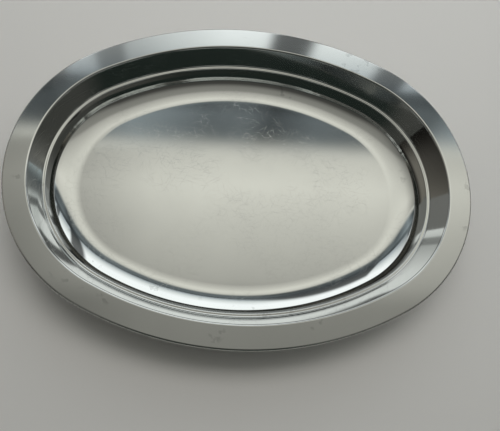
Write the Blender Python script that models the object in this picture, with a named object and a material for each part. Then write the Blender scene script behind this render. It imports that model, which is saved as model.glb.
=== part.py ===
"""Oval stainless-steel serving tray: one drawn sheet with a flat rim, a stepped wall and a
dished floor, its outer edge rolled round a steel wire.

Metres, +Z up, +X along the tray. The origin is on the table, under the middle of the tray.
"""
import math

import bmesh
import bpy

# Outline of the outer edge: four arcs, two at the ends and two along the flanks.
LENGTH = 0.420
WIDTH = 0.303
END_RADIUS = 0.1325
SEGMENTS_ROUND = 80

# Sheet and wire.
SHEET = 0.0007
WIRE_DIAMETER = 0.0016
WIRE_GAP = 0.0004

# Section of the tray, measured inwards from the outer edge and down from the rim's top face.
RIM_INNER = 0.0209
LEDGE_DEPTH = 0.0215
LEDGE_OUTER = 0.0277
LEDGE_INNER = 0.0306
STEP_FOOT = (0.0340, 0.0364)
FLOOR_DEPTH = 0.0430
FLOOR_SLOPE = math.radians(30.0)

# Radii of the bends, on the face that food touches.
RIM_BEND = 0.0020
LEDGE_FILLET = 0.0016
LEDGE_BEND = 0.0011
STEP_FILLET = 0.0020
FLOOR_FILLET = 0.0450

# The edge goes three quarters of a turn round the wire, and the slit it leaves is narrower
# than the wire.
ROLL_SWEEP = 1.5 * math.pi
ROLL_STEPS = 9
BEND_STEPS = 2
FLOOR_STEPS = 4
WIRE_SIDES = 8

ROLL_INNER_RADIUS = WIRE_DIAMETER / 2 + WIRE_GAP
ROLL_RADIUS = ROLL_INNER_RADIUS + SHEET
RIM_TOP = FLOOR_DEPTH + SHEET
FLANK_RADIUS = (((LENGTH / 2) ** 2 + (WIDTH / 2) ** 2 - LENGTH * END_RADIUS)
                / (WIDTH - 2 * END_RADIUS))
END_CENTRE = LENGTH / 2 - END_RADIUS
FLANK_CENTRE = FLANK_RADIUS - WIDTH / 2
JOIN_ANGLE = math.atan2(FLANK_CENTRE, END_CENTRE)


def clear_scene():
    """Remove every object that the file starts with."""
    for item in list(bpy.data.objects):
        bpy.data.objects.remove(item, do_unlink=True)


def steel(name, roughness, shade):
    """Stainless steel with one roughness and one grey."""
    material = bpy.data.materials.new(name)
    material.use_nodes = True
    shader = material.node_tree.nodes["Principled BSDF"]
    shader.inputs["Base Color"].default_value = (shade, shade, shade * 0.96, 1.0)
    shader.inputs["Metallic"].default_value = 1.0
    shader.inputs["Roughness"].default_value = roughness
    return material


def outline_point(station, inset):
    """Point of the four-arc oval, moved inwards: each arc keeps its centre."""
    angle = 2 * math.pi * station / SEGMENTS_ROUND
    cosine, sine = math.cos(angle), math.sin(angle)
    if math.atan2(abs(sine), abs(cosine)) < JOIN_ANGLE:
        radius = END_RADIUS - inset
        return math.copysign(END_CENTRE, cosine) + radius * cosine, radius * sine
    radius = FLANK_RADIUS - inset
    return radius * cosine, math.copysign(FLANK_CENTRE, -sine) + radius * sine


def bend(before, corner, after, radius, steps):
    """Arc that rounds the corner between two straight runs, as (inset, height) points."""
    def direction(target):
        run = (target[0] - corner[0], target[1] - corner[1])
        length = math.hypot(*run)
        return run[0] / length, run[1] / length

    back, ahead = direction(before), direction(after)
    opening = math.acos(back[0] * ahead[0] + back[1] * ahead[1])
    trim = radius / math.tan(opening / 2)
    middle = (back[0] + ahead[0], back[1] + ahead[1])
    reach = radius / math.sin(opening / 2) / math.hypot(*middle)
    centre = (corner[0] + middle[0] * reach, corner[1] + middle[1] * reach)
    start = (corner[0] + back[0] * trim - centre[0], corner[1] + back[1] * trim - centre[1])
    end = (corner[0] + ahead[0] * trim - centre[0], corner[1] + ahead[1] * trim - centre[1])
    turn = math.copysign(math.pi - opening, start[0] * end[1] - start[1] * end[0])
    points = []
    for step in range(steps + 1):
        angle = turn * step / steps
        cosine, sine = math.cos(angle), math.sin(angle)
        points.append((centre[0] + cosine * start[0] - sine * start[1],
                       centre[1] + sine * start[0] + cosine * start[1]))
    return points


def upper_face_section():
    """Section of the face that food touches, from the floor out to the end of the rolled edge."""
    slope_run = FLOOR_FILLET * math.tan(FLOOR_SLOPE / 2)
    floor_rise = FLOOR_DEPTH - STEP_FOOT[1]
    floor_corner = (STEP_FOOT[0] + floor_rise / math.tan(FLOOR_SLOPE), RIM_TOP - FLOOR_DEPTH)
    floor = (floor_corner[0] + slope_run, floor_corner[1])
    foot = (STEP_FOOT[0], RIM_TOP - STEP_FOOT[1])
    ledge_inner = (LEDGE_INNER, RIM_TOP - LEDGE_DEPTH)
    ledge_outer = (LEDGE_OUTER, RIM_TOP - LEDGE_DEPTH)
    rim_inner = (RIM_INNER, RIM_TOP)
    rim_outer = (ROLL_RADIUS, RIM_TOP)
    section = bend(floor, floor_corner, foot, FLOOR_FILLET, FLOOR_STEPS)
    section += bend(floor_corner, foot, ledge_inner, STEP_FILLET, BEND_STEPS)
    section += bend(foot, ledge_inner, ledge_outer, LEDGE_BEND, BEND_STEPS)
    section += bend(ledge_inner, ledge_outer, rim_inner, LEDGE_FILLET, BEND_STEPS)
    section += bend(ledge_outer, rim_inner, rim_outer, RIM_BEND, BEND_STEPS)
    for step in range(ROLL_STEPS + 1):
        angle = math.pi / 2 + ROLL_SWEEP * step / ROLL_STEPS
        section.append((ROLL_RADIUS + ROLL_RADIUS * math.cos(angle),
                        RIM_TOP - ROLL_RADIUS + ROLL_RADIUS * math.sin(angle)))
    return section


def add_object(name, mesh_builder, material):
    """Link a new smooth-shaded object whose mesh the builder makes."""
    mesh = bpy.data.meshes.new(name)
    mesh_builder.to_mesh(mesh)
    mesh_builder.free()
    mesh.shade_smooth()
    mesh.materials.append(material)
    item = bpy.data.objects.new(name, mesh)
    bpy.context.collection.objects.link(item)
    return item


def make_tray_body(material):
    """Sheet: the flat floor, its edge extruded from ring to ring of the section, then thickened."""
    section = upper_face_section()
    sheet = bmesh.new()
    station_of = sheet.verts.layers.int.new("station")
    ring = []
    for station in range(SEGMENTS_ROUND):
        x, y = outline_point(station, section[0][0])
        vertex = sheet.verts.new((x, y, section[0][1]))
        vertex[station_of] = station
        ring.append(vertex)
    floor = sheet.faces.new(ring)
    edges = list(floor.edges)
    bmesh.ops.poke(sheet, faces=[floor])
    for inset, height in section[1:]:
        extruded = bmesh.ops.extrude_edge_only(sheet, edges=edges)["geom"]
        for vertex in extruded:
            if isinstance(vertex, bmesh.types.BMVert):
                x, y = outline_point(vertex[station_of], inset)
                vertex.co = (x, y, height)
        edges = [edge for edge in extruded
                 if isinstance(edge, bmesh.types.BMEdge) and edge.is_boundary]
    bmesh.ops.recalc_face_normals(sheet, faces=sheet.faces)
    if next(iter(sheet.faces)).normal.z < 0:
        bmesh.ops.reverse_faces(sheet, faces=sheet.faces)
    body = add_object("tray_body", sheet, material)
    thickness = body.modifiers.new("sheet", "SOLIDIFY")
    thickness.thickness = SHEET
    thickness.offset = -1.0
    thickness.use_even_offset = True
    return body


def make_rim_wire(material):
    """Steel wire, a closed ring inside the rolled edge."""
    wire = bmesh.new()
    rings = []
    for station in range(SEGMENTS_ROUND):
        ring = []
        for side in range(WIRE_SIDES):
            angle = 2 * math.pi * side / WIRE_SIDES
            inset = ROLL_RADIUS + WIRE_DIAMETER / 2 * math.cos(angle)
            height = RIM_TOP - ROLL_RADIUS + WIRE_DIAMETER / 2 * math.sin(angle)
            x, y = outline_point(station, inset)
            ring.append(wire.verts.new((x, y, height)))
        edges = [wire.edges.new((ring[side - 1], ring[side])) for side in range(WIRE_SIDES)]
        rings.append(edges)
    for station in range(SEGMENTS_ROUND):
        bmesh.ops.bridge_loops(wire, edges=rings[station - 1] + rings[station])
    bmesh.ops.recalc_face_normals(wire, faces=wire.faces)
    return add_object("rim_wire", wire, material)


clear_scene()
make_tray_body(steel("stainless_sheet", 0.25, 0.60))
make_rim_wire(steel("steel_wire", 0.40, 0.45))
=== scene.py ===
"""Oval stainless-steel serving tray on a pale table, in soft studio light.

The tray's sheet is one section carried round a four-arc oval. Lengths are in metres.
"""

import math

import bpy
import numpy as np
from bpy.props import FloatProperty, FloatVectorProperty, IntProperty, PointerProperty
from mathutils import Euler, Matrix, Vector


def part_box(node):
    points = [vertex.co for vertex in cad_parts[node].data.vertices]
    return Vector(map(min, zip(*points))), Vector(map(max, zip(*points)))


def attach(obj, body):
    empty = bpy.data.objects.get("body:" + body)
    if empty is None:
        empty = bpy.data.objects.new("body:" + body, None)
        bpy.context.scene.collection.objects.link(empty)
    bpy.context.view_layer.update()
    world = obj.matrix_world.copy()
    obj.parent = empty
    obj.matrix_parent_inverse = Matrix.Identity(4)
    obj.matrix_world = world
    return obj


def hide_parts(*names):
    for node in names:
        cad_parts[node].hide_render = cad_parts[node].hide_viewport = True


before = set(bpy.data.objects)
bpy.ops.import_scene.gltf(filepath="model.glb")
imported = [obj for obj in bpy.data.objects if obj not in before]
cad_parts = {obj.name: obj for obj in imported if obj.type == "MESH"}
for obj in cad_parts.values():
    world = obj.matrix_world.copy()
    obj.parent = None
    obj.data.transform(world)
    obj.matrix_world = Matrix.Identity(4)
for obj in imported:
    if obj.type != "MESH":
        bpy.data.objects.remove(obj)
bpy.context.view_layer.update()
SHEET_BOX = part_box("tray_body")
WIRE_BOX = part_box("rim_wire")

# Gap between the wire and the sheet rolled round it.
WIRE_GAP = 0.0004
# Places on the section: distance in from the outer edge, and depth under the rim's top.
LEDGE_INSETS = (0.0277, 0.0306)
STEP_FOOT = (0.0340, 0.0364)
# Slope of the ring dished round the flat floor.
FLOOR_SLOPE = math.radians(30.0)
# Radii of the section's bends, on the sheet's upper face.
RIM_BEND = 0.0020
LEDGE_FILLET = 0.0016
LEDGE_BEND = 0.0011
STEP_FILLET = 0.0020
FLOOR_FILLET = 0.0450
# Distances in from the outer edge between which the rim's finish turns into the wall's.
RIM_SATIN = (0.0185, 0.0210)
# Gap under the tray's flat floor, so that it and the table top don't share one plane.
TABLE_GAP = 0.0003

bl_info = {
    "name": "Oval Serving Tray",
    "version": (1, 0, 0),
    "blender": (4, 5, 0),
    "location": "View3D > Sidebar > Serving Tray",
    "description": "Makes an oval stainless-steel serving tray and the table it stands on",
    "category": "Object",
}


# ---------------------------------------------------------------------------
# Settings
# ---------------------------------------------------------------------------

class TraySizes(bpy.types.PropertyGroup):
    """Sizes of the pressed sheet and of the wire in its edge."""

    length: FloatProperty(
        name="Length", description="Outer length of the tray",
        default=SHEET_BOX[1].x - SHEET_BOX[0].x, min=0.1, unit="LENGTH")
    width: FloatProperty(
        name="Width", description="Outer width of the tray",
        default=SHEET_BOX[1].y - SHEET_BOX[0].y, min=0.1, unit="LENGTH")
    height: FloatProperty(
        name="Height", description="Height of the rim above the table",
        default=SHEET_BOX[1].z - SHEET_BOX[0].z, min=0.01, unit="LENGTH")
    end_radius: FloatProperty(
        name="End radius", description="Radius of the outline's two end arcs",
        default=0.1325, min=0.05, unit="LENGTH")
    sheet: FloatProperty(
        name="Sheet", description="Thickness of the sheet",
        default=0.0007, min=0.0003, unit="LENGTH")
    rim_width: FloatProperty(
        name="Rim width", description="Outer edge to the corner where the wall drops",
        default=0.0209, min=0.005, unit="LENGTH")
    ledge_depth: FloatProperty(
        name="Ledge depth", description="Rim's top face down to the ledge",
        default=0.0215, min=0.005, unit="LENGTH")
    wire: FloatProperty(
        name="Wire", description="Diameter of the wire inside the rolled edge",
        default=WIRE_BOX[1].z - WIRE_BOX[0].z, min=0.0005, unit="LENGTH")
    stations: IntProperty(
        name="Stations", description="Sections round the outline",
        default=640, min=32)


class SteelFinish(bpy.types.PropertyGroup):
    """Colour and polish of the steel."""

    colour: FloatVectorProperty(
        name="Steel colour", description="Reflected colour of the clean sheet",
        subtype="COLOR", size=3, default=(0.60, 0.60, 0.575), min=0.0, max=1.0)
    wire_colour: FloatVectorProperty(
        name="Wire colour", description="Reflected colour of the wire",
        subtype="COLOR", size=3, default=(0.45, 0.45, 0.43), min=0.0, max=1.0)
    polished: FloatProperty(
        name="Polished roughness", description="Roughness of the polished wall and ledge",
        subtype="FACTOR", default=0.03, min=0.0, max=1.0)
    rim: FloatProperty(
        name="Rim roughness", description="Roughness of the rim",
        subtype="FACTOR", default=0.08, min=0.0, max=1.0)
    satin: FloatProperty(
        name="Satin roughness", description="Roughness of the floor",
        subtype="FACTOR", default=0.08, min=0.0, max=1.0)
    satin_edge: FloatProperty(
        name="Satin edge", description="Outer edge of the sheet to the edge of the satin floor",
        default=0.0430, min=0.03, unit="LENGTH")


class StudioStage(bpy.types.PropertyGroup):
    """Table, light and camera."""

    table_colour: FloatVectorProperty(
        name="Table colour", description="Colour of the plain table top",
        subtype="COLOR", size=3, default=(0.80, 0.79, 0.77), min=0.0, max=1.0)
    light: FloatProperty(
        name="Light", description="Strength of the studio light",
        default=1.0, min=0.0)


# ---------------------------------------------------------------------------
# Shapes
# ---------------------------------------------------------------------------

def unit(vector):
    """The vector divided by its length."""
    return vector / np.linalg.norm(vector)


def bend(before, corner, after, radius, count):
    """Rounded corner of a section.

    The arc's centre lies on the corner's bisector, the radius over the sine of half the
    opening away. The spokes turn evenly from the first touching point to the last.
    """
    corner = np.array(corner)
    back, ahead = unit(np.array(before) - corner), unit(np.array(after) - corner)
    half = math.acos(float(back @ ahead)) / 2
    centre = corner + unit(back + ahead) * radius / math.sin(half)
    first = corner + back * radius / math.tan(half) - centre
    last = corner + ahead * radius / math.tan(half) - centre
    turn = math.pi - 2 * half
    share = np.linspace(0.0, 1.0, count)[:, None]
    spokes = (np.sin((1 - share) * turn) * first + np.sin(share * turn) * last) / math.sin(turn)
    side = math.copysign(1.0, first[0] * last[1] - first[1] * last[0])
    return centre + spokes, spokes / radius * side


def arc(centre, radius, start, sweep, count):
    """Arc of a section, from the start angle through the sweep, with its normals outwards."""
    angle = start + np.linspace(0.0, sweep, count)
    spokes = np.stack([np.cos(angle), np.sin(angle)], axis=1)
    return np.array(centre) + radius * spokes, spokes


def oval(sizes, inset, angle):
    """Four-arc oval moved inwards: (x, y) where its outward normal has the given angle.

    Each point is its arc's centre plus the arc's radius, less the inset, times the
    normal. Normals flatter than the joining angle belong to the end arcs.
    """
    half_length, half_width, end = sizes.length / 2, sizes.width / 2, sizes.end_radius
    flank = ((half_length ** 2 + half_width ** 2 - 2 * half_length * end)
             / (2 * (half_width - end)))
    end_centre, flank_centre = half_length - end, flank - half_width
    cosine, sine = np.cos(angle), np.sin(angle)
    on_end = np.arctan2(np.abs(sine), np.abs(cosine)) < math.atan2(flank_centre, end_centre)
    radius = np.where(on_end, end, flank) - inset
    x = np.where(on_end, np.sign(cosine) * end_centre, 0.0) + radius * cosine
    y = np.where(on_end, 0.0, -np.sign(sine) * flank_centre) + radius * sine
    return x, y


def sheet_section(sizes):
    """Section of the sheet's upper face, from the flat floor out to the end of the rolled
    edge: (inset, height) points and their normals.

    Straight stretches join rounded corners, and the edge is rolled under by three
    quarters of a circle about the wire's centre.
    """
    top = sizes.height
    roll_radius = sizes.wire / 2 + WIRE_GAP + sizes.sheet
    foot = (STEP_FOOT[0], top - STEP_FOOT[1])
    ledge_outer, ledge_inner = ((inset, top - sizes.ledge_depth) for inset in LEDGE_INSETS)
    rim_inner = (sizes.rim_width, top)
    rim_outer = (roll_radius, top)
    slope_length = (foot[1] - sizes.sheet) / math.tan(FLOOR_SLOPE)
    floor_corner = (foot[0] + slope_length, sizes.sheet)
    floor = (floor_corner[0] + FLOOR_FILLET * math.tan(FLOOR_SLOPE / 2), sizes.sheet)
    parts = [
        bend(floor, floor_corner, foot, FLOOR_FILLET, 18),
        bend(floor_corner, foot, ledge_inner, STEP_FILLET, 6),
        bend(foot, ledge_inner, ledge_outer, LEDGE_BEND, 6),
        bend(ledge_inner, ledge_outer, rim_inner, LEDGE_FILLET, 6),
        bend(ledge_outer, rim_inner, rim_outer, RIM_BEND, 7),
        arc((roll_radius, top - roll_radius), roll_radius, math.pi / 2, 1.5 * math.pi, 22),
    ]
    points = np.concatenate([part[0] for part in parts])
    normals = np.concatenate([part[1] for part in parts])
    return points, normals


def make_mesh(name, rings, normals, poles):
    """Closed surface from a grid of points, rings by stations, with a pole at each end.

    Rows run round the object and close on themselves. Where poles is None the rings
    close on each other too. The normals are those of the formula, not of the faces.
    """
    ring_count, stations = rings.shape[:2]
    ring, station = np.meshgrid(np.arange(ring_count), np.arange(stations), indexing="ij")
    after = (station + 1) % stations
    above = (ring + 1) % ring_count
    quads = np.stack([ring * stations + station, above * stations + station,
                      above * stations + after, ring * stations + after], axis=-1)
    points = rings.reshape(-1, 3)
    shading = normals.reshape(-1, 3)
    if poles is None:
        faces = quads.reshape(-1, 4).tolist()
    else:
        faces = quads[:-1].reshape(-1, 4).tolist()
        around = np.arange(stations)
        nearby = (around + 1) % stations
        first, last = len(points), len(points) + 1
        lowest = (ring_count - 1) * stations
        faces += np.stack([around, nearby, np.full(stations, first)], axis=1).tolist()
        faces += np.stack([lowest + nearby, lowest + around, np.full(stations, last)],
                          axis=1).tolist()
        points = np.concatenate([points, poles])
        shading = np.concatenate([shading, [[0.0, 0.0, 1.0], [0.0, 0.0, -1.0]]])
    mesh = bpy.data.meshes.new(name)
    mesh.from_pydata(points.tolist(), [], faces)
    mesh.shade_smooth()
    mesh.normals_split_custom_set_from_vertices(shading.tolist())
    piece = bpy.data.objects.new(name, mesh)
    bpy.context.scene.collection.objects.link(piece)
    return piece


def make_sheet(sizes):
    """The tray's sheet: upper face, rolled edge and underside as one closed surface.

    The underside is the upper face moved one sheet's thickness against its normals, and
    half a circle joins them at the end of the roll. Each ring of the surface is the oval
    at that point's inset, at that point's height, and the flat middle is the innermost
    ring shrunk in steps to a pole.
    """
    points, normals = sheet_section(sizes)
    tip = points[-1] - normals[-1] * sizes.sheet / 2
    across = np.array([-normals[-1][1], normals[-1][0]])
    swing = np.linspace(0.0, math.pi, 6)[1:-1, None]
    tip_normals = np.cos(swing) * normals[-1] + np.sin(swing) * across
    section = np.concatenate([points, tip + tip_normals * sizes.sheet / 2,
                              (points - normals * sizes.sheet)[::-1]])
    section_normals = np.concatenate([normals, tip_normals, -normals[::-1]])

    angle = 2 * math.pi * np.arange(sizes.stations) / sizes.stations
    x, y = oval(sizes, section[:, :1], angle[None])
    z = np.repeat(section[:, 1:], sizes.stations, axis=1)
    outward = -section_normals[:, :1]
    upward = np.repeat(section_normals[:, 1:], sizes.stations, axis=1)
    ring_normals = np.stack([outward * np.cos(angle), outward * np.sin(angle), upward], axis=-1)
    rings = np.stack([x, y, z], axis=-1)

    shrink = np.array([0.15, 0.4, 0.65, 0.85])[:, None, None]
    shrink_flat = np.concatenate([shrink, shrink, np.ones_like(shrink)], axis=2)
    upper = rings[0] * shrink_flat
    lower = rings[-1] * shrink_flat[::-1]
    up = np.broadcast_to(np.array([0.0, 0.0, 1.0]), upper.shape)
    rings = np.concatenate([upper, rings, lower])
    ring_normals = np.concatenate([up, ring_normals, -up])
    poles = np.array([[0.0, 0.0, section[0, 1]], [0.0, 0.0, section[-1, 1]]])
    piece = make_mesh("tray_sheet", rings, ring_normals, poles)

    flat = len(shrink)
    inset = np.concatenate([np.full(flat, section[0, 0]), section[:, 0],
                            np.full(flat, section[-1, 0])])
    upper_side = np.arange(len(inset)) < flat + len(points)
    store(piece, "inset", np.append(np.repeat(inset, sizes.stations), inset[[0, -1]]))
    store(piece, "upper", np.append(np.repeat(upper_side * 1.0, sizes.stations), [1.0, 0.0]))
    return piece


def store(piece, name, values):
    """Keep one number for each point of a piece."""
    layer = piece.data.attributes.new(name, "FLOAT", "POINT")
    layer.data.foreach_set("value", np.asarray(values, np.float32))


def make_wire(sizes):
    """The wire: a circle of the wire's radius carried round the oval at the roll's centre."""
    radius = sizes.wire / 2
    centre = radius + WIRE_GAP + sizes.sheet
    sides = 16
    side = -2 * math.pi * np.arange(sides)[:, None] / sides
    angle = 2 * math.pi * np.arange(sizes.stations)[None] / sizes.stations
    inset = centre - radius * np.cos(side)
    x, y = oval(sizes, inset, angle)
    z = np.repeat(sizes.height - centre + radius * np.sin(side), sizes.stations, axis=1)
    rings = np.stack([x, y, z], axis=-1)
    normals = np.stack([np.cos(side) * np.cos(angle), np.cos(side) * np.sin(angle),
                        np.repeat(np.sin(side), sizes.stations, axis=1)], axis=-1)
    return make_mesh("edge_wire", rings, normals, None)


# ---------------------------------------------------------------------------
# Shader groups
# ---------------------------------------------------------------------------

class Nodes:
    """Short way to add nodes to a tree and join them."""

    def __init__(self, tree):
        self.tree = tree

    def add(self, kind, inputs=None, **settings):
        """New node with its settings; inputs may be numbers or other nodes' sockets."""
        node = self.tree.nodes.new(kind)
        for name, value in settings.items():
            setattr(node, name, value)
        for name, value in (inputs or {}).items():
            if isinstance(value, bpy.types.NodeSocket):
                self.tree.links.new(value, node.inputs[name])
            else:
                node.inputs[name].default_value = value
        return node

    def math(self, operation, first, second=0.0):
        """One sum on two numbers or sockets."""
        return self.add("ShaderNodeMath", {0: first, 1: second}, operation=operation).outputs[0]

    def ease(self, value, low, high, low_value=0.0, high_value=1.0):
        """Smooth change from one value to another between two limits, in either order."""
        return self.add("ShaderNodeMapRange",
                        {"Value": value, "From Min": low, "From Max": high,
                         "To Min": low_value, "To Max": high_value},
                        interpolation_type="SMOOTHSTEP").outputs["Result"]

    def ramp(self, value, stops):
        """Colour that changes evenly between the colours given at rising values."""
        low, high = stops[0][0], stops[-1][0]
        share = self.math("DIVIDE", self.math("SUBTRACT", value, low), high - low)
        node = self.add("ShaderNodeValToRGB", {0: share})
        elements = node.color_ramp.elements
        elements.remove(elements[-1])
        elements[0].position = 0.0
        elements[0].color = (*stops[0][1], 1.0)
        for at, colour in stops[1:]:
            elements.new((at - low) / (high - low)).color = (*colour, 1.0)
        return node.outputs["Color"]

    def levels(self, value, stops, tint=(1.0, 1.0, 1.0)):
        """Ramp of one tint whose brightness is given at rising values."""
        return self.ramp(value, [(at, tuple(level * part for part in tint))
                                 for at, level in stops])

    def blend(self, share, first, second):
        """Mix of two colours."""
        node = self.tree.nodes.new("ShaderNodeMix")
        node.data_type = "RGBA"
        for socket, value in (("Factor_Float", share), ("A_Color", first), ("B_Color", second)):
            target = next(item for item in node.inputs if item.identifier == socket)
            if isinstance(value, bpy.types.NodeSocket):
                self.tree.links.new(value, target)
            else:
                target.default_value = value
        return next(item for item in node.outputs if item.identifier == "Result_Color")


def new_group(name, inputs, outputs):
    """Empty shader group with named sockets: its nodes, its input node and its output node."""
    tree = bpy.data.node_groups.new(name, "ShaderNodeTree")
    for socket, (kind, default) in inputs.items():
        item = tree.interface.new_socket(socket, in_out="INPUT", socket_type=kind)
        if default is not None:
            item.default_value = default
    for socket in outputs:
        tree.interface.new_socket(socket, in_out="OUTPUT", socket_type="NodeSocketFloat")
    nodes = Nodes(tree)
    return nodes, nodes.add("NodeGroupInput"), nodes.add("NodeGroupOutput")


def scratch_group():
    """Fine straight scratches in several directions, gathered in patches."""
    nodes, source, result = new_group(
        "fine_scratches",
        {"Vector": ("NodeSocketVector", None), "Per metre": ("NodeSocketFloat", 30.0),
         "Width": ("NodeSocketFloat", 0.05), "Cover": ("NodeSocketFloat", 0.5)},
        ["Scratches"])
    total = None
    for index, degrees in enumerate((12.0, 47.0, -28.0, 76.0, -61.0, 3.0)):
        turned = nodes.add("ShaderNodeMapping",
                           {"Vector": source.outputs["Vector"],
                            "Rotation": (0.0, 0.0, math.radians(degrees)),
                            "Location": (0.37 * index, 0.19 * index, 0.0)})
        stretched = nodes.add("ShaderNodeVectorMath",
                              {0: turned.outputs[0], 1: (1.0, 42.0, 1.0)}, operation="MULTIPLY")
        cells = nodes.add("ShaderNodeTexVoronoi",
                          {"Vector": stretched.outputs[0], "Scale": source.outputs["Per metre"]},
                          voronoi_dimensions="2D", feature="F1")
        mark = nodes.ease(cells.outputs["Distance"], source.outputs["Width"], 0.0)
        total = mark if total is None else nodes.math("MAXIMUM", total, mark)
    patches = nodes.add("ShaderNodeTexNoise", {"Vector": source.outputs["Vector"], "Scale": 16.0,
                                               "Detail": 2.0})
    level = nodes.math("SUBTRACT", 1.0, source.outputs["Cover"])
    kept = nodes.ease(patches.outputs["Fac"], level, nodes.math("ADD", level, 0.15))
    nodes.tree.links.new(nodes.math("MULTIPLY", total, kept), result.inputs["Scratches"])
    return nodes.tree


def smudge_group():
    """Cloudy film and a few small marks left by handling."""
    nodes, source, result = new_group(
        "handling_smudges",
        {"Vector": ("NodeSocketVector", None), "Per metre": ("NodeSocketFloat", 18.0)},
        ["Film", "Marks"])
    film = nodes.add("ShaderNodeTexNoise",
                     {"Vector": source.outputs["Vector"], "Scale": source.outputs["Per metre"],
                      "Detail": 4.0, "Roughness": 0.55})
    spots = nodes.add("ShaderNodeTexNoise",
                      {"Vector": source.outputs["Vector"], "Scale": 150.0, "Detail": 3.0})
    where = nodes.add("ShaderNodeTexNoise",
                      {"Vector": source.outputs["Vector"], "Scale": 31.0, "Detail": 1.0})
    marks = nodes.math("MULTIPLY", nodes.ease(spots.outputs["Fac"], 0.56, 0.64),
                       nodes.ease(where.outputs["Fac"], 0.58, 0.66))
    nodes.tree.links.new(nodes.ease(film.outputs["Fac"], 0.3, 0.7), result.inputs["Film"])
    nodes.tree.links.new(marks, result.inputs["Marks"])
    return nodes.tree


def wear_groups():
    """The scratch group and the smudge group, each made once and shared."""
    groups = bpy.data.node_groups
    return (groups.get("fine_scratches") or scratch_group(),
            groups.get("handling_smudges") or smudge_group())


# ---------------------------------------------------------------------------
# Materials
# ---------------------------------------------------------------------------

def steel_material(name, colour):
    """Metal with a clean Principled shader: the material, its nodes and the shader."""
    material = bpy.data.materials.new(name)
    material.use_nodes = True
    nodes = Nodes(material.node_tree)
    shader = material.node_tree.nodes["Principled BSDF"]
    shader.inputs["Metallic"].default_value = 1.0
    shader.inputs["Base Color"].default_value = (*colour, 1.0)
    return material, nodes, shader


def sheet_material(finish, scratches, smudges):
    """Stainless sheet: polished wall and ledge, softer rim, satin floor, worn by use.

    Wear adds roughness and mixes the steel's colour towards a duller one: scratches most on
    the floor, small marks most on the rim.
    """
    material, nodes, shader = steel_material("polished_and_satin_steel", finish.colour)
    place = nodes.add("ShaderNodeTexCoord").outputs["Object"]
    inset = nodes.add("ShaderNodeAttribute", attribute_name="inset").outputs["Fac"]
    upper = nodes.add("ShaderNodeAttribute", attribute_name="upper").outputs["Fac"]

    edge_blur = 0.0006
    satin = nodes.ease(inset, finish.satin_edge - edge_blur, finish.satin_edge + edge_blur)
    satin = nodes.math("MULTIPLY", satin, upper)
    rim = nodes.ease(inset, RIM_SATIN[1], RIM_SATIN[0])
    scratch = nodes.add("ShaderNodeGroup", {"Vector": place, "Per metre": 12.0, "Width": 0.10,
                                            "Cover": 0.60}, node_tree=scratches)
    smudge = nodes.add("ShaderNodeGroup", {"Vector": place}, node_tree=smudges)

    rougher_floor = nodes.math("MULTIPLY", satin, finish.satin - finish.polished)
    rougher_rim = nodes.math("MULTIPLY", rim, finish.rim - finish.polished)
    roughness = nodes.math("ADD", finish.polished, rougher_floor)
    roughness = nodes.math("ADD", roughness, rougher_rim)
    filmed = nodes.math("MULTIPLY", smudge.outputs["Film"], 0.02)
    roughness = nodes.math("ADD", roughness, filmed)
    scratched = nodes.math("MULTIPLY", scratch.outputs[0], nodes.ease(satin, 0.0, 1.0, 0.05, 0.20))
    roughness = nodes.math("ADD", roughness, scratched)
    nodes.tree.links.new(roughness, shader.inputs["Roughness"])

    bright = (*finish.colour, 1.0)
    dull = tuple(0.55 * value for value in finish.colour) + (1.0,)
    worn = nodes.math("MULTIPLY", scratch.outputs[0], nodes.ease(satin, 0.0, 1.0, 0.06, 0.24))
    worn = nodes.math("ADD", worn, nodes.math("MULTIPLY", smudge.outputs["Film"], 0.06))
    spots = nodes.math("MULTIPLY", smudge.outputs["Marks"],
                       nodes.ease(satin, 0.0, 1.0, 0.40, 0.05))
    worn = nodes.math("MAXIMUM", worn, spots)
    nodes.tree.links.new(nodes.blend(worn, bright, dull), shader.inputs["Base Color"])
    return material


def wire_material(finish, scratches, smudges):
    """Plain drawn wire, duller than the sheet."""
    material, nodes, shader = steel_material("drawn_wire_steel", finish.wire_colour)
    place = nodes.add("ShaderNodeTexCoord").outputs["Object"]
    scratch = nodes.add("ShaderNodeGroup", {"Vector": place, "Per metre": 30.0, "Width": 0.15,
                                            "Cover": 0.8}, node_tree=scratches)
    smudge = nodes.add("ShaderNodeGroup", {"Vector": place, "Per metre": 40.0},
                       node_tree=smudges)
    roughness = nodes.math("ADD", 0.34, nodes.math("MULTIPLY", smudge.outputs["Film"], 0.12))
    roughness = nodes.math("ADD", roughness, nodes.math("MULTIPLY", scratch.outputs[0], 0.1))
    nodes.tree.links.new(roughness, shader.inputs["Roughness"])
    return material


def table_material(stage):
    """Plain pale table top."""
    material = bpy.data.materials.new("pale_table")
    material.use_nodes = True
    shader = material.node_tree.nodes["Principled BSDF"]
    shader.inputs["Base Color"].default_value = (*stage.table_colour, 1.0)
    shader.inputs["Roughness"].default_value = 0.9
    shader.inputs["Specular IOR Level"].default_value = 0.2
    return material


# ---------------------------------------------------------------------------
# Stage
# ---------------------------------------------------------------------------

def card(name, corners):
    """Flat glowing card that lights the tray but isn't seen itself, with its nodes and place."""
    mesh = bpy.data.meshes.new(name)
    mesh.from_pydata(corners, [], [(0, 1, 2, 3)])
    item = bpy.data.objects.new(name, mesh)
    bpy.context.scene.collection.objects.link(item)
    item.visible_camera = False
    material = bpy.data.materials.new(name)
    material.use_nodes = True
    material.node_tree.nodes.clear()
    mesh.materials.append(material)
    nodes = Nodes(material.node_tree)
    place = nodes.add("ShaderNodeTexCoord").outputs["Object"]
    return nodes, nodes.add("ShaderNodeSeparateXYZ", {0: place}).outputs


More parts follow.
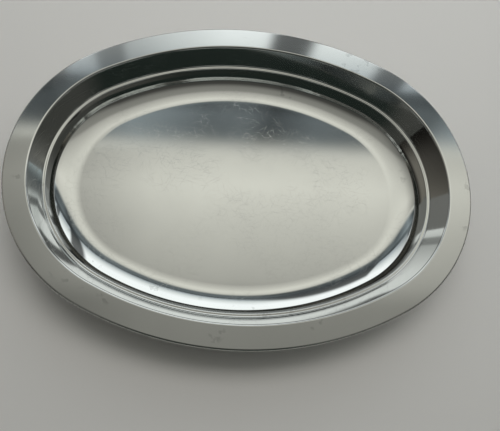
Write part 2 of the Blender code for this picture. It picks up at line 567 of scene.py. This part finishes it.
def glow(nodes, colour, strength):
    """Finish a card with light of the given colour and strength."""
    light = nodes.add("ShaderNodeEmission", {"Color": colour, "Strength": strength})
    nodes.add("ShaderNodeOutputMaterial", {"Surface": light.outputs[0]})


def window_card(stage):
    """Tall soft light behind the tray, dim at its foot, with three dark uprights."""
    nodes, place = card("window_light", [(-0.46, 0.72, 0.06), (1.30, 0.72, 0.06),
                                         (1.30, 0.72, 1.02), (-0.46, 0.72, 1.02)])
    colour = nodes.ramp(place["Z"], (
        (0.06, (0.22, 0.24, 0.24)), (0.24, (0.34, 0.36, 0.37)), (0.36, (1.55, 1.64, 1.67)),
        (0.65, (1.55, 1.64, 1.69)), (0.82, (1.15, 1.24, 1.26)), (1.02, (0.50, 0.58, 0.64))))
    strength = nodes.levels(place["X"], (
        (-0.46, 0.95), (-0.22, 0.58), (0.05, 0.98), (0.74, 0.95), (0.86, 0.35)))
    uprights = ((-0.30, 0.05, 0.45), (0.262, 0.067, 0.13), (0.64, 0.065, 0.25))
    for centre, half_width, shade in uprights:
        away = nodes.math("ABSOLUTE", nodes.math("SUBTRACT", place["X"], centre))
        upright = nodes.ease(away, 0.7 * half_width, 1.3 * half_width, shade, 1.0)
        strength = nodes.math("MULTIPLY", strength, upright)
    glow(nodes, colour, nodes.math("MULTIPLY", strength, stage.light))


def upper_wall_card(stage):
    """Slate-grey wall above the window light, uneven along its length and pale at its top."""
    nodes, place = card("slate_wall", [(-1.30, 0.72, 1.02), (1.60, 0.72, 1.02),
                                       (1.60, 0.72, 1.54), (-1.30, 0.72, 1.54)])
    slate = nodes.levels(place["X"], (
        (-1.30, 0.25), (-0.55, 0.09), (-0.28, 0.40), (0.04, 0.18), (0.20, 0.21),
        (0.30, 0.09), (0.50, 0.21), (0.95, 0.15), (1.10, 0.42), (1.60, 0.80)),
        tint=(0.84, 1.0, 1.08))
    level = nodes.levels(place["Z"], (
        (1.02, 0.62), (1.10, 0.62), (1.16, 1.20), (1.25, 0.96), (1.54, 1.0)))
    top = nodes.ease(place["Z"], 1.34, 1.53)
    glow(nodes, nodes.blend(top, slate, (0.86, 0.88, 0.82, 1.0)),
         nodes.math("MULTIPLY", level, stage.light))


def left_wall_card(stage):
    """Dim beige wall on the left, dark low down and towards the front."""
    nodes, place = card("left_wall", [(-1.30, -0.60, 0.25), (-1.30, 0.72, 0.25),
                                      (-1.30, 0.72, 1.54), (-1.30, -0.60, 1.54)])
    rise = nodes.ease(place["Z"], 0.30, 0.85, 0.12, 1.0)
    front = nodes.ease(place["Y"], -0.60, 0.05, 0.15, 1.0)
    glow(nodes, (0.36, 0.345, 0.315, 1.0),
         nodes.math("MULTIPLY", nodes.math("MULTIPLY", rise, front), stage.light))


def ceiling_card(stage):
    """Cream ceiling, brightest beside the window and falling off to the front and the left."""
    nodes, place = card("ceiling", [(-1.80, -0.90, 1.54), (-1.80, 0.72, 1.54),
                                    (2.20, 0.72, 1.54), (2.20, -0.90, 1.54)])
    colour = nodes.levels(place["Y"], (
        (-0.90, 0.05), (-0.50, 0.08), (-0.25, 0.30), (0.00, 0.36), (0.10, 0.60),
        (0.36, 0.84), (0.55, 1.06), (0.72, 0.90)), tint=(1.0, 1.01, 0.935))
    side = nodes.levels(place["X"], (
        (-1.80, 0.20), (-0.75, 0.42), (-0.20, 0.92), (0.05, 1.00), (0.85, 0.98),
        (2.20, 0.50)))
    glow(nodes, colour, nodes.math("MULTIPLY", side, stage.light))


def fill_light(stage):
    """Large soft lamp for the table alone: polished steel doesn't mirror it."""
    lamp = bpy.data.lights.new("table_fill", "AREA")
    lamp.shape = "RECTANGLE"
    lamp.size = 1.3
    lamp.size_y = 0.7
    lamp.energy = 7.0 * stage.light
    lamp.color = (1.0, 0.97, 0.94)
    holder = bpy.data.objects.new("table_fill", lamp)
    bpy.context.scene.collection.objects.link(holder)
    holder.location = (0.1, 0.60, 1.20)
    holder.rotation_euler = (math.radians(-26.0), 0.0, 0.0)
    holder.visible_glossy = False
    holder.visible_camera = False


def dim_room(stage):
    """Room beyond the cards: dark in front, lighter at the sides and behind, pale below."""
    world = bpy.data.worlds.new("studio")
    world.use_nodes = True
    bpy.context.scene.world = world
    nodes = Nodes(world.node_tree)
    background = world.node_tree.nodes["Background"]
    direction = nodes.add("ShaderNodeTexCoord").outputs["Generated"]
    axes = nodes.add("ShaderNodeSeparateXYZ", {0: direction}).outputs
    across = nodes.math("ABSOLUTE", axes["X"])
    low = nodes.blend(nodes.ease(across, 0.55, 0.80),
                      (0.028, 0.040, 0.036, 1.0), (0.10, 0.105, 0.10, 1.0))
    high = nodes.blend(nodes.ease(across, 0.25, 0.50),
                       (0.05, 0.055, 0.05, 1.0), (0.20, 0.20, 0.19, 1.0))
    colour = nodes.blend(nodes.ease(axes["Z"], 0.45, 0.60), low, high)
    behind = nodes.ease(axes["Y"], 0.00, 0.45)
    colour = nodes.blend(behind, colour, (0.34, 0.35, 0.35, 1.0))
    below = nodes.ease(axes["Z"], -0.02, -0.12)
    colour = nodes.blend(below, colour, (0.45, 0.45, 0.44, 1.0))
    nodes.tree.links.new(colour, background.inputs["Color"])
    background.inputs["Strength"].default_value = stage.light


def place_camera(sizes):
    """Camera above the front rim, a little left of the middle, looking almost straight down."""
    camera = bpy.data.cameras.new("view")
    holder = bpy.data.objects.new("view", camera)
    bpy.context.scene.collection.objects.link(holder)
    holder.location = (-0.05513, -0.14047, 0.36042 + sizes.height)
    degrees = (15.490, -4.522, 0.857)
    holder.rotation_euler = Euler([math.radians(value) for value in degrees])
    camera.lens = 31.36
    camera.shift_x = 0.0735
    camera.clip_start = 0.01
    bpy.context.scene.camera = holder


# ---------------------------------------------------------------------------
# Operators and panel
# ---------------------------------------------------------------------------

class TRAY_OT_sheet(bpy.types.Operator):
    """Make the pressed sheet with its rolled edge"""

    bl_idname = "tray.sheet"
    bl_label = "Pressed sheet"

    def execute(self, context):
        scene = context.scene
        piece = make_sheet(scene.tray_sizes)
        piece.data.materials.append(sheet_material(scene.tray_finish, *wear_groups()))
        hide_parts("tray_body")
        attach(piece, "root")
        return {"FINISHED"}


class TRAY_OT_wire(bpy.types.Operator):
    """Make the wire inside the rolled edge"""

    bl_idname = "tray.wire"
    bl_label = "Edge wire"

    def execute(self, context):
        scene = context.scene
        piece = make_wire(scene.tray_sizes)
        piece.data.materials.append(wire_material(scene.tray_finish, *wear_groups()))
        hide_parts("rim_wire")
        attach(piece, "root")
        return {"FINISHED"}


class TRAY_OT_stage(bpy.types.Operator):
    """Make the table, the light and the camera"""

    bl_idname = "tray.stage"
    bl_label = "Table, light and camera"

    def execute(self, context):
        scene = context.scene
        bpy.ops.mesh.primitive_plane_add(size=7.0, location=(0.0, 0.0, -TABLE_GAP))
        table = context.object
        table.name = "table_top"
        table.data.materials.append(table_material(scene.tray_stage))
        window_card(scene.tray_stage)
        upper_wall_card(scene.tray_stage)
        left_wall_card(scene.tray_stage)
        ceiling_card(scene.tray_stage)
        fill_light(scene.tray_stage)
        dim_room(scene.tray_stage)
        scene.view_settings.view_transform = "Standard"
        place_camera(scene.tray_sizes)
        return {"FINISHED"}


class TRAY_PT_panel(bpy.types.Panel):
    """Steps and settings of the serving tray"""

    bl_label = "Serving Tray"
    bl_idname = "TRAY_PT_panel"
    bl_space_type = "VIEW_3D"
    bl_region_type = "UI"
    bl_category = "Serving Tray"

    def draw(self, context):
        for step in STEPS:
            self.layout.operator(step.bl_idname)
        scene = context.scene
        for group in (scene.tray_sizes, scene.tray_finish, scene.tray_stage):
            column = self.layout.column()
            for name in group.__annotations__:
                column.prop(group, name)


STEPS = (TRAY_OT_sheet, TRAY_OT_wire, TRAY_OT_stage)
CLASSES = (TraySizes, SteelFinish, StudioStage, *STEPS, TRAY_PT_panel)


def register():
    """Add the classes and their settings to Blender."""
    for item in CLASSES:
        bpy.utils.register_class(item)
    bpy.types.Scene.tray_sizes = PointerProperty(type=TraySizes)
    bpy.types.Scene.tray_finish = PointerProperty(type=SteelFinish)
    bpy.types.Scene.tray_stage = PointerProperty(type=StudioStage)


def unregister():
    """Take the classes and their settings out of Blender."""
    del bpy.types.Scene.tray_stage
    del bpy.types.Scene.tray_finish
    del bpy.types.Scene.tray_sizes
    for item in reversed(CLASSES):
        bpy.utils.unregister_class(item)


def main():
    """Make everything in order."""
    register()
    bpy.ops.tray.stage()
    bpy.ops.tray.sheet()
    bpy.ops.tray.wire()


if __name__ == "__main__":
    main()
